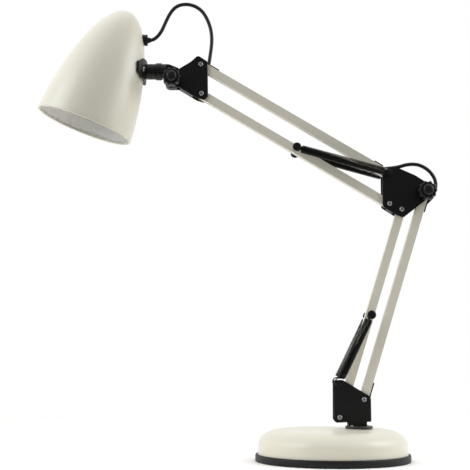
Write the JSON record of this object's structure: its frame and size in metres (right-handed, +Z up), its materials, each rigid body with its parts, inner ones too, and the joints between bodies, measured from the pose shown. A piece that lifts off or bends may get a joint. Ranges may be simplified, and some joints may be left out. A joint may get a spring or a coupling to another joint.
{
  "type": "swing arm desk lamp",
  "caption": "Desk lamp with a bell shade on two spring balanced parallelogram arms, clamped at elbow and head, on a round weighted base that swivels.",
  "frame": {"origin": "centre of the base's underside, on the surface that the lamp stands on", "axes": "+Z up; +X from the base centre towards the elbow side, so the shade hangs over -X; +Y to the back, away from the clamping knobs"},
  "size_m": [0.481, 0.181, 0.5517],
  "materials": {
    "cream_paint": "satin cream enamel on steel",
    "black_paint": "satin black enamel on steel",
    "dark_collar": "satin dark grey enamel",
    "black_rubber": "matt moulded rubber",
    "black_plastic": "fine textured moulded plastic",
    "white_nylon": "natural nylon",
    "zinc": "zinc plated",
    "spring_steel": "blackened spring wire",
    "cast_weight": "raw cast iron",
    "grey_felt": "pressed felt",
    "brass": "plain brass",
    "cord_jacket": "smooth flexible jacket"
  },
  "bodies": {
    "base": {"base_cover": "cream_paint", "base_trim_ring": "black_rubber", "base_weight": "cast_weight", "base_plate": "zinc", "felt_pad": "grey_felt", "base_screws": "zinc", "mains_gland": "black_plastic", "swivel_bush": "black_plastic"},
    "turntable": {"swivel_collar": "dark_collar", "collar_screws": "zinc", "swivel_tube": "zinc", "swivel_nut": "zinc", "base_bracket": "black_paint", "base_pivot_screws": "zinc", "base_pivot_nuts": "zinc", "base_pivot_washers": "white_nylon", "base_spring_pin": "black_paint"},
    "lower_rear_arm": {"lower_rear_bar": "cream_paint", "lower_rear_strips": "black_plastic", "lead_in_lower_arm": "cord_jacket", "lead_at_base": "cord_jacket"},
    "lower_front_arm": {"lower_front_bar": "cream_paint", "lower_spring_pin": "black_paint", "lower_spring_front": "spring_steel", "lower_spring_back": "spring_steel"},
    "elbow": {"elbow_bracket": "black_paint", "elbow_pivot_screws": "zinc", "elbow_pivot_nuts": "zinc", "elbow_pivot_washers": "white_nylon", "elbow_spring_pin": "black_paint", "elbow_clamp_nut": "zinc", "lead_at_elbow": "cord_jacket"},
    "elbow_clamp": {"elbow_knob": "black_plastic", "elbow_knob_bolt": "zinc"},
    "upper_top_arm": {"upper_top_bar": "cream_paint", "upper_top_strips": "black_plastic", "lead_in_upper_arm": "cord_jacket"},
    "upper_low_arm": {"upper_low_bar": "cream_paint", "upper_spring_pin": "black_paint", "upper_spring_front": "spring_steel", "upper_spring_back": "spring_steel"},
    "head": {"head_bracket": "black_paint", "head_pivot_screws": "zinc", "head_pivot_nuts": "zinc", "head_pivot_washers": "white_nylon", "head_clamp_nut": "zinc"},
    "head_clamp": {"head_knob": "black_plastic", "head_knob_bolt": "zinc"},
    "neck": {"knuckle": "black_plastic", "neck_collar": "black_plastic", "lead_at_head": "cord_jacket"},
    "shade": {"shade_shell": "cream_paint", "neck_tube": "black_plastic", "shade_flange": "black_paint", "flange_screws": "zinc", "lamp_holder": "black_plastic", "holder_sleeve": "brass", "holder_bracket": "zinc", "lead_gland": "black_plastic"}
  },
  "joints": [
    {"name": "base_swivel", "type": "hinge", "parent": "base", "child": "turntable", "pos_m": [0.031, 0, 0.04], "axis": [0, 0, 1], "range_deg": [-170, 170]},
    {"name": "lower_arm_lean", "type": "hinge", "parent": "turntable", "child": "lower_rear_arm", "pos_m": [0.0365, 0, 0.0705], "axis": [0, 1, 0], "range_deg": [-35, 18], "deforming": ["lead_at_base"]},
    {"name": "lower_front_follow", "type": "hinge", "parent": "turntable", "child": "lower_front_arm", "pos_m": [0.008, 0, 0.05], "axis": [0, 1, 0], "range_deg": [-36, 19], "deforming": ["lower_spring_front", "lower_spring_back"]},
    {"name": "elbow_level", "type": "hinge", "parent": "lower_rear_arm", "child": "elbow", "pos_m": [0.11348, 0, 0.31465], "axis": [0, 1, 0], "range_deg": [-19, 36], "deforming": ["lead_at_elbow"]},
    {"name": "upper_arm_lift", "type": "hinge", "parent": "elbow", "child": "upper_top_arm", "pos_m": [0.06978, 0, 0.33715], "axis": [0, 1, 0], "range_deg": [-28, 30]},
    {"name": "upper_low_follow", "type": "hinge", "parent": "elbow", "child": "upper_low_arm", "pos_m": [0.07068, 0, 0.30095], "axis": [0, 1, 0], "range_deg": [-29, 31], "deforming": ["upper_spring_front", "upper_spring_back"]},
    {"name": "head_level", "type": "hinge", "parent": "upper_top_arm", "child": "head", "pos_m": [-0.15503, 0, 0.4717], "axis": [0, 1, 0], "range_deg": [-31, 29]},
    {"name": "head_tilt", "type": "hinge", "parent": "head", "child": "neck", "pos_m": [-0.18953, 0, 0.452], "axis": [0, 1, 0], "range_deg": [-45, 50], "deforming": ["lead_at_head"]},
    {"name": "shade_turn", "type": "hinge", "parent": "neck", "child": "shade", "pos_m": [-0.20953, 0, 0.4645], "axis": [1, 0, 0], "range_deg": [-60, 60]},
    {"name": "elbow_knob_turn", "type": "hinge", "parent": "elbow", "child": "elbow_clamp", "pos_m": [0.11348, 0, 0.31465], "axis": [0, 1, 0], "continuous": true},
    {"name": "head_knob_turn", "type": "hinge", "parent": "head", "child": "head_clamp", "pos_m": [-0.18953, 0, 0.452], "axis": [0, 1, 0], "continuous": true}
  ],
  "couplings": [
    {"joint": "lower_front_follow", "follows": "lower_arm_lean", "ratio": 1},
    {"joint": "elbow_level", "follows": "lower_arm_lean", "ratio": -1},
    {"joint": "upper_low_follow", "follows": "upper_arm_lift", "ratio": 1},
    {"joint": "head_level", "follows": "upper_arm_lift", "ratio": -1}
  ]
}
